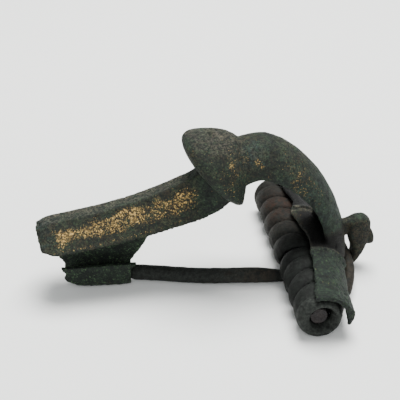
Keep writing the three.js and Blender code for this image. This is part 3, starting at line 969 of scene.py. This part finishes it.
@dataclass
class Casting(GrownPiece):
    """The bronze casting: foot, comb, bow, roll cap, catch and hook in one."""

    body: FootAndBow = field(default_factory=FootAndBow)
    comb: Comb = field(default_factory=Comb)
    cap: RollCap = field(default_factory=RollCap)
    catch: CatchPlate = field(default_factory=CatchPlate)
    hook: ChordHook = field(default_factory=ChordHook)
    voxel: float = 0.195
    rounds: int = 3
    gold_spots: tuple[tuple[float, float, float], ...] = (
        (-7.2, -3.8, 21.8), (-6.6, -4.0, 21.3), (-11.3, -4.6, 22.0), (-0.9, -4.0, 19.5))

    def build(self) -> bpy.types.Object:
        """Grow the forms together, corrode and tint them, and hand the piece to the frame."""
        forms = [self.body.skin(), self.comb.skin(self.body), *self.cap.skins(self.spring, self.body),
                 *self.catch.skins(self.body), *self.hook.skins(self.body)]
        obj = self.grow("bow_casting", forms, self.voxel, self.rounds)
        self.corrode(obj.data)
        self.tint(obj.data)
        obj.data.materials.append(BronzePatina().material())
        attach(obj, "root")
        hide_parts("bow")
        return obj

    def relief(self, p: Array) -> Array:
        """Add broad dents, crust and fine grain, and take off pits and the scars of the comb."""
        height = (0.07 * grain(p, 3.2, 1, 2) + 0.05 * grain(p, 0.9, 2, 3)
                  + (0.035 + 0.09 * self.crust(p)) * grain(p, 0.42, 3, 2))
        height -= 0.16 * smooth(grain(p, 0.7, 4, 2), 0.38, 0.75)
        return height - self.scars(p) - self.worn_end(p)

    def scars(self, p: Array) -> Array:
        """Return the depth of the nick on the comb's top and of the scratch beside it."""
        x, y, z = p.T
        nick = 0.55 * bell(x + 0.4 * y, -14.2, 0.5) * bell(y, -0.6, 1.1)
        scratch = 0.3 * bell(y - 0.45 * (x + 12.2), 0.8, 0.3) * bell(x, -12.2, 1.1)
        return (nick + scratch) * smooth(z, 22.0, 23.5)

    def worn_end(self, p: Array) -> Array:
        """Return how much is gone from the rounded left end of the foot."""
        end = 1 - smooth(p[:, 0], self.body.foot_end_x, self.body.foot_end_x + 3.0)
        return end * (0.12 + 0.3 * smooth(grain(p, 1.5, 5, 3), -0.1, 0.6))

    def on_lobe(self, p: Array) -> Array:
        """Return 1 on the near lobe, falling to 0 at its rim."""
        return smooth(-p[:, 1], self.cap.inner_y - 0.5, self.cap.inner_y + 1) * smooth(p[:, 0], -6, -3)

    def on_foot(self, p: Array) -> Array:
        """Return 1 on the foot, falling to 0 at its neck."""
        return 1 - smooth(p[:, 0], self.body.neck_x - 1.0, self.body.neck_x + 2.0)

    def on_side(self, p: Array, n: Array) -> Array:
        """Return 1 on the foot's sloping sides, from points and their normals."""
        steep = smooth(np.abs(n[:, 1]), 0.3, 0.6)
        return self.on_foot(p) * steep * (1 - smooth(self.below_ridge(p), 0.98, 1.1))

    def below_ridge(self, p: Array) -> Array:
        """Return how far down the foot's side a point lies, from 0 at its ridge to 1 at its edge."""
        t = np.linspace(0, 1, 60)
        ridge = self.body.foot_ridge(t)
        deep = lerp(self.body.foot_end_depth, self.body.foot_neck_depth, t**2)
        fall = np.interp(p[:, 0], ridge[:, 0], ridge[:, 2]) - p[:, 2]
        return fall / np.interp(p[:, 0], ridge[:, 0], deep)

    def crust(self, p: Array) -> Array:
        """Return how granular the surface is: most on the near lobe and under the foot."""
        under = smooth(-p[:, 2], -8.0, -6.0) * (1 - smooth(p[:, 0], -14, -8))
        return np.clip(self.on_lobe(p) + 0.7 * under, 0, 1)

    def gilding(self, p: Array, n: Array) -> Array:
        """Return how much gilding is left.

        On the foot's sides it is a ragged band that thins towards the comb, with a thin line above
        the lower edge. Trails cross the comb and the bow, and small spots lie round four points.

        Args:
            p: points in millimetres.
            n: normals there.

        Returns:
            One share per point.
        """
        x, y, z = p.T
        down = self.below_ridge(p)
        wander = 0.24 * grain(p, 1.8, 51, 4)
        dense = lerp(1.02, 0.9, smooth(x, -27.0, -19.0)) * smooth(x + 8 * wander, -39.5, -36.5)
        band = smooth(down + wander, 0.06, 0.3) * (1 - smooth(down + wander, 0.56, 0.84))
        line = 0.75 * bell(down, 0.88, 0.045)
        foot = self.on_side(p, n) * np.where(y < 0, 1.0, 0.5) * dense * (band + line + 0.25 * wander)
        comb = 0.4 * bell(x, -10.5, 3.0) * smooth(-y, 1.5, 4.0)
        bow = 0.5 * bell(x, 0.0, 5.0) * smooth(z, 13, 18) * smooth(-y, 1.5, 3.5)
        near = np.linalg.norm(p[:, None] - np.array(self.gold_spots)[None], axis=2).min(axis=1)
        return foot + comb + bow + 0.75 * (1 - smooth(near, 0.2, 0.7))

    def wear(self, p: Array, n: Array) -> Array:
        """Return how pale the surface is: on the foot's ridge, the comb's top and the cap's rims."""
        x, y, z = p.T
        ridge = self.on_foot(p) * smooth(n[:, 2], 0.78, 0.95) * (1 - smooth(self.below_ridge(p), 0.2, 0.5))
        crown = 0.75 * bell(x, -12.5, 3.0) * smooth(z, 22.8, 24.6)
        rim = bell(np.abs(y), self.cap.inner_y, 0.6) * smooth(z, 6.0, 7.2) * (1 - smooth(z, 9.5, 11))
        return (0.75 * ridge * lerp(0.6, 1.5, smooth(y, -1.2, 1.2)) + crown
                + rim * (1.4 * smooth(y, 0, 3) + 0.6 * smooth(-y, 0, 3)))

    def tongue(self, p: Array) -> Array:
        """Return 1 on the tongue and the bridge, falling to 0 at the lobes."""
        x, y, z = p.T
        return (1 - smooth(np.abs(y), 5.2, 6.0)) * smooth(x, -3, 0) * (1 - smooth(z, 8.5, 9.5))

    def painted_shade_and_darkening(self, p: Array) -> Array:
        """Return the painted shade: black on the tongue's right part in the hollow under the bow and on the
        far lobe's front, which lie in shade, and a flat darkening of the near lobe.
        """
        x, y, z = p.T
        # Painted shade in the hollow between the tongue's right part and the bow.
        inside = self.tongue(p) * (1 - smooth(y, 4.6, 5.6)) * smooth(x, 0, 2)
        # Painted shade on the far lobe's front, which lies in the shadow of the bow.
        far_lobe_shade = smooth(y, 6.4, 7.0) * smooth(x, -2.5, -1.0) * (1 - smooth(z, 9.5, 11))
        # The near lobe is also darkened a little all over.
        return (inside * lerp(0.95, 0.4, smooth(x, 6, 8)) + 0.95 * far_lobe_shade * (1 - 0.7 * smooth(x, 4.0, 5.5))
                + 0.34 * self.on_lobe(p))

    def tint(self, mesh: bpy.types.Mesh) -> None:
        """Store where the surface is gilt, pale, brown, darkened by painted shade, blue-green and crusty."""
        p = places_of(mesh, self.place)
        n = normals_of(mesh)
        x, y, z = p.T
        paint(mesh, "gold", self.gilding(p, n))
        paint(mesh, "pale", self.wear(p, n))
        paint(mesh, "brown", 0.5 * bell(x, -9.5, 5.0) * smooth(z, 18, 22) + 0.8 * self.tongue(p)
              + 0.4 * smooth(x, -6, 0) * smooth(z, 16, 22) + 0.45 * self.on_side(p, n))
        # Painted shade in the hollow and on the far lobe's front, and the near lobe's darkening.
        paint(mesh, "painted_shade_and_darkening", self.painted_shade_and_darkening(p))
        neck = bell(x, -8.0, 2.2) * smooth(-y, 0.5, 2.5) * smooth(z, 20, 22)
        paint(mesh, "teal", 0.65 * neck + 0.5 * bell(x, -40.0, 2.5)
              + 0.2 * smooth(x, -6, -2) * smooth(-y, 0, 3))
        paint(mesh, "crust", self.crust(p))


@dataclass
class SprungPin(GrownPiece):
    """One wire: pin, near half of the spring, chord and far half, with a closed ring at each end."""

    catch: CatchPlate
    hook: ChordHook
    leaves_at: float = -3.4
    near_turns: int = 4
    far_turns: int = 5
    middle_top_y: float = -1.8
    inner_pitch: float = 1.9
    turn_gap: float = 0.3
    ring_width: float = 2.4
    ring_join: float = 1.0
    ring_thick: float = 0.93
    ring_shift: float = 0.23
    run_in: float = 0.3
    sunk_thick: float = 0.8
    sunk_wide: float = 0.6
    tail: float = 1 / 3
    diameter: float = 2.45
    tip: float = 0.9
    chord_x: float = 8.2
    chord_height: float = 2.8
    per_turn: int = 72
    sides: int = 28
    voxel: float = 0.16
    rounds: int = 2

    def ring_y(self, side: Side) -> float:
        """Return the middle of the end ring on one side."""
        end = self.spring.near_end if side is Side.NEAR else self.spring.far_end
        return end - side.value * self.ring_width / 2

    def coil(self, y: Array | float, degrees: Array | float) -> Array:
        """Return points on the coil's centre line at y and an angle."""
        y, degrees = np.broadcast_arrays(np.asarray(y, float), np.asarray(degrees, float))
        radius = self.spring.radius - self.spring.wire / 2
        a = np.radians(degrees)
        return np.stack([radius * np.cos(a), y, self.spring.radius + radius * np.sin(a)], -1)

    def ribbon(self, line: Array, thick: Array, wide: Array) -> Skin:
        """Carry an oval along a line that runs across Y, wide along Y and thick across it."""
        way = along(line)
        side = np.array([0.0, 1.0, 0.0]) - way * way[:, 1:2]
        side /= np.linalg.norm(side, axis=1)[:, None]
        out = np.cross(way, side)
        angle = around(self.sides)[None, :, None]
        return Skin.over(line[:, None] + out[:, None] * np.sin(angle) * thick[:, None, None] / 2
                         + side[:, None] * np.cos(angle) * wide[:, None, None] / 2)

    def end_ring(self, side: Side) -> Skin:
        """Close one end of the spring with a flat turn, thick towards the foot and thin under the lobe."""
        degrees = np.arange(0, 373, 4)
        thick = self.spring.wire * (self.ring_thick - self.ring_shift * np.cos(np.radians(degrees)))
        middle = np.array([0, self.ring_y(side), self.spring.radius])
        reach = (self.spring.radius - thick / 2) / (self.spring.radius - self.spring.wire / 2)
        line = middle + (self.coil(self.ring_y(side), degrees) - middle) * reach[:, None]
        return self.ribbon(line, thick, np.full(len(line), self.ring_width))

    def pin_and_near_half(self) -> Skin:
        """Follow the pin from its tip in the catch into the near turns, which flatten and close up."""
        c, r, wire = self.catch, self.spring.wire / 2, self.spring.wire
        pin = spline([
            (c.left + 1.0, c.y, c.axis_z), (c.right, c.y, c.axis_z),
            (lerp(c.right, 0, 0.43), lerp(c.y, self.leaves_at, 0.6), self.diameter / 2 + 0.15),
            (lerp(c.right, 0, 0.77), lerp(c.y, self.leaves_at, 0.88), self.diameter / 2 + 0.1),
            (0, self.leaves_at, r),
            self.coil(self.leaves_at - 0.1, -70)], np.linspace(0, 0.8, 170)[:-1])
        inside = lerp(self.tip, c.pin, smooth(pin[:, 0], c.left, c.left + 5))
        shaft = smooth(pin[:, 0], c.right - 0.7, c.right + 1.0)
        size = lerp(lerp(inside, self.diameter, shaft), wire, smooth(pin[:, 0], -7, 0))
        ring_y = self.ring_y(Side.NEAR)
        pitch = (self.leaves_at - self.inner_pitch - ring_y - self.ring_join) / (self.near_turns - 1)
        last = self.near_turns + self.run_in
        turn = np.arange(int(last * self.per_turn) + 1) / self.per_turn
        into = smooth(turn, self.near_turns, last)
        y = self.leaves_at - np.minimum(turn, 1) * self.inner_pitch - np.maximum(turn - 1, 0) * pitch
        wide = lerp(wire, pitch - self.turn_gap, smooth(turn, 0, 1.1)) * lerp(1, self.sunk_wide, into)
        thick = wire * lerp(1, self.sunk_thick, into)
        return self.ribbon(np.vstack([pin, self.coil(lerp(y, ring_y, into), -90 + turn * 360)]),
                           np.concatenate([size, thick]), np.concatenate([size, wide]))

    def far_half(self) -> Skin:
        """Follow the far turns from their end ring to the wire's end under the bow."""
        start = self.ring_y(Side.FAR) - self.ring_join
        pitch = (start - self.middle_top_y) / (self.far_turns - 0.25)
        steps = int((self.far_turns + 0.05 + self.tail) * self.per_turn)
        turn = np.arange(steps + 1) / self.per_turn - self.run_in
        into = 1 - smooth(turn, -self.run_in, 0)
        y = lerp(start - turn * pitch, self.ring_y(Side.FAR), into)
        return self.ribbon(self.coil(y, -90 - turn * 360), self.spring.wire * lerp(1, self.sunk_thick, into),
                           (pitch - self.turn_gap) * lerp(1, self.sunk_wide, into))

    def half_chord(self, side: Side) -> list[Sequence[float]]:
        """Return the chord's knots from the foot of one end ring to the hook."""
        y, s = self.ring_y(side), side.value
        return [self.coil(y, -78), (1.9, y - s * 0.25, 1.2), (2.75, y - s, 1.25), (3.35, y - s * 2.1, 1.05),
                (3.95, y - s * 3.6, 1.0), (4.8, y - s * 5.4, 1.15), (6.4, y - s * 7.8, 1.8),
                (self.chord_x - 0.4, y - s * 11.6, self.chord_height - 0.3)]

    def chord(self) -> Skin:
        """Carry a round bar from one end ring through the hook to the other."""
        half = self.hook.width / 2
        line = spline([
            *self.half_chord(Side.NEAR), (self.chord_x, -half, self.chord_height),
            (self.chord_x, half, self.chord_height), *self.half_chord(Side.FAR)[::-1],
        ], np.linspace(0, 1, 300))
        return tube(line, np.full(len(line), self.spring.wire / 2), self.sides)

    def build(self) -> bpy.types.Object:
        """Grow the wire's runs together, corrode and tint them, and hand the piece to the frame."""
        skins = [self.pin_and_near_half(), self.end_ring(Side.NEAR), self.chord(),
                 self.end_ring(Side.FAR), self.far_half()]
        obj = self.grow("sprung_wire", skins, self.voxel, self.rounds)
        self.corrode(obj.data)
        self.tint(obj.data)
        obj.data.materials.append(WirePatina().material())
        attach(obj, "root")
        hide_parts("spring_and_pin")
        return obj

    def relief(self, p: Array) -> Array:
        """Add dents and crust, and take off pits."""
        return (0.05 * grain(p, 1.6, 41, 2) + 0.035 * grain(p, 0.5, 42, 3)
                - 0.08 * smooth(grain(p, 0.7, 43, 2), 0.45, 0.8))

    def tint(self, mesh: bpy.types.Mesh) -> None:
        """Store where the wire is brown, red, and worn paler."""
        x, y, z = places_of(mesh, self.place).T
        chord = smooth(x, 3.6, 4.6)
        root = bell(x, -6.0, 6.0) * smooth(-x, 3.0, 4.5)
        paint(mesh, "brown", 0.65 * chord + 0.6 * root + 0.3 * smooth(y, -4, 4))
        paint(mesh, "red", 0.9 * bell(y, 9.5, 4.0) * smooth(z, 3.5, 6.0))
        paint(mesh, "worn", smooth(-y, 14.5, 16.5) + 0.5 * (1 - smooth(x, -10.0, -6.0)))


@dataclass
class Axle:
    """Rusted iron bar inside the spring, set back from both of its ends."""

    spring: Spring
    place: Placement
    diameter: float = 2.6
    recess: float = 0.8
    scale: float = 0.06
    sides: int = 96
    rings: int = 300
    end_rings: int = 22

    def build(self) -> bpy.types.Object:
        """Turn a circle along the axis, with scaly noise on its radius and crumbled ends."""
        y = np.linspace(self.spring.near_end + self.recess, self.spring.far_end - self.recess, self.rings)
        y = np.pad(y, self.end_rings, mode="edge")
        closing = np.linspace(0.02, 1, self.end_rings)
        inset = np.concatenate([closing, np.ones(self.rings), closing[::-1]])
        angle = around(self.sides)[None]
        radius = (self.diameter / 2 - self.scale) * inset[:, None]
        x = radius * np.cos(angle)
        z = self.spring.radius + radius * np.sin(angle)
        p = np.stack([x, np.broadcast_to(y[:, None], x.shape), z], -1)
        flat = p.reshape(-1, 3)
        scales = (0.07 * grain(flat, 0.9, 61, 3)).reshape(x.shape) * inset[:, None]
        p[..., 0] += scales * np.cos(angle)
        p[..., 2] += scales * np.sin(angle)
        half = (y[-1] - y[0]) / 2
        end = smooth(np.abs(p[..., 1] - self.spring.middle), half - 0.5, half)
        inwards = np.sign(self.spring.middle - p[..., 1])
        p[..., 1] += inwards * end * (0.22 + 0.22 * grain(flat, 0.7, 62, 3).reshape(x.shape))
        obj = mesh_object("iron_axle", Skin.over(p), self.place)
        obj.data.materials.append(IronRust().material())
        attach(obj, "root")
        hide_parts("axle")
        return obj


@dataclass
class Studio:
    """Pale floor, soft light and the camera at the photograph's angle."""

    focal_px: float = 850.0
    width_px: float = 400.0
    azimuth: float = -7.0
    elevation: float = 30.8
    anchor: tuple[float, float, float] = (0.0, -17.5, 3.3)
    anchor_px: tuple[float, float] = (320.4, 319.6)
    anchor_scale: float = 7.0
    floor_half: float = 1500.0
    floor_cells: int = 8
    sky: Colour = (0.94, 0.97, 0.97)
    sky_strength: float = 0.46

    def camera(self, anchor: Array) -> bpy.types.Object:
        """Stand the camera where the anchor shows at its pixel, at anchor_scale pixels a mm.

        Args:
            anchor: point in metres near the near end of the spring's axis.

        Returns:
            The scene's camera.
        """
        a, e = math.radians(self.azimuth), math.radians(self.elevation)
        right = np.array([math.cos(a), math.sin(a), 0])
        up = np.array([-math.sin(a) * math.sin(e), math.cos(a) * math.sin(e), math.cos(e)])
        back = np.array([math.sin(a) * math.cos(e), -math.cos(a) * math.cos(e), math.sin(e)])
        depth = self.focal_px / self.anchor_scale / 1000.0
        over, down = (np.array(self.anchor_px) - self.width_px / 2) / self.focal_px * depth
        eye = anchor - over * right + down * up + depth * back
        data = bpy.data.cameras.new("camera")
        data.sensor_width = 36.0
        data.lens = self.focal_px / self.width_px * data.sensor_width
        data.clip_start = 0.01
        camera = bpy.data.objects.new("camera", data)
        bpy.context.scene.collection.objects.link(camera)
        matrix = np.eye(4)
        matrix[:3, :4] = np.stack([right, up, back, eye], -1)
        camera.matrix_world = Matrix(matrix.tolist())
        bpy.context.scene.camera = camera
        return camera

    def lamp(self, name: str, place: Sequence[float], size: float, power: float, colour: Colour) -> None:
        """Hang a soft square lamp that faces the brooch."""
        data = bpy.data.lights.new(name, "AREA")
        data.size = size
        data.energy = power
        data.color = colour
        lamp = bpy.data.objects.new(name, data)
        bpy.context.scene.collection.objects.link(lamp)
        lamp.location = place
        aim = np.array([0, 0, 0.01]) - np.array(place)
        lamp.rotation_euler = (math.acos(-aim[2] / np.linalg.norm(aim)), 0.0,
                               math.atan2(aim[1], aim[0]) - math.pi / 2)

    def floor(self) -> None:
        """Lay the floor."""
        n = self.floor_cells + 1
        t = np.linspace(-self.floor_half, self.floor_half, n)
        x, y = np.meshgrid(t, t, indexing="ij")
        points = np.stack([x, y, 0 * x], -1).reshape(-1, 3)
        corner = (np.arange(n - 1)[:, None] * n + np.arange(n - 1)).ravel()
        faces = np.stack([corner, corner + n, corner + n + 1, corner + 1], -1)
        floor = mesh_object("floor", Skin(points, faces), Placement((0.0, 0.0, 0.0)))
        floor.data.materials.append(PaleFloor().material())

    def build(self, place: Placement) -> None:
        """Set up the floor, the lamps, the sky and the camera."""
        self.floor()
        self.lamp("key", (0.06, 0.12, 0.50), size=0.30, power=6.9, colour=(1.0, 1.0, 0.985))
        self.lamp("fill", (-0.05, -0.60, 0.40), size=0.6, power=2.8, colour=(0.98, 0.99, 1.0))
        world = bpy.data.worlds.new("studio")
        world.use_nodes = True
        back = world.node_tree.nodes["Background"]
        back.inputs["Color"].default_value = (*self.sky, 1.0)
        back.inputs["Strength"].default_value = self.sky_strength
        bpy.context.scene.world = world
        self.camera(place.metres(np.array(self.anchor)))


def main() -> None:
    """Build every piece in order and report it."""
    logging.basicConfig(level=logging.INFO, format="%(name)s: %(message)s")
    spring = Spring()
    place = Placement.from_axle(spring.middle)
    Studio().build(place)
    LOG.info("studio ready")
    casting = Casting(spring, place)
    wire = SprungPin(spring, place, casting.catch, casting.hook)
    for piece in (casting.build(), wire.build(), Axle(spring, place).build()):
        LOG.info("%s: %d faces", piece.name, len(piece.data.polygons))


if __name__ == "__main__":
    main()
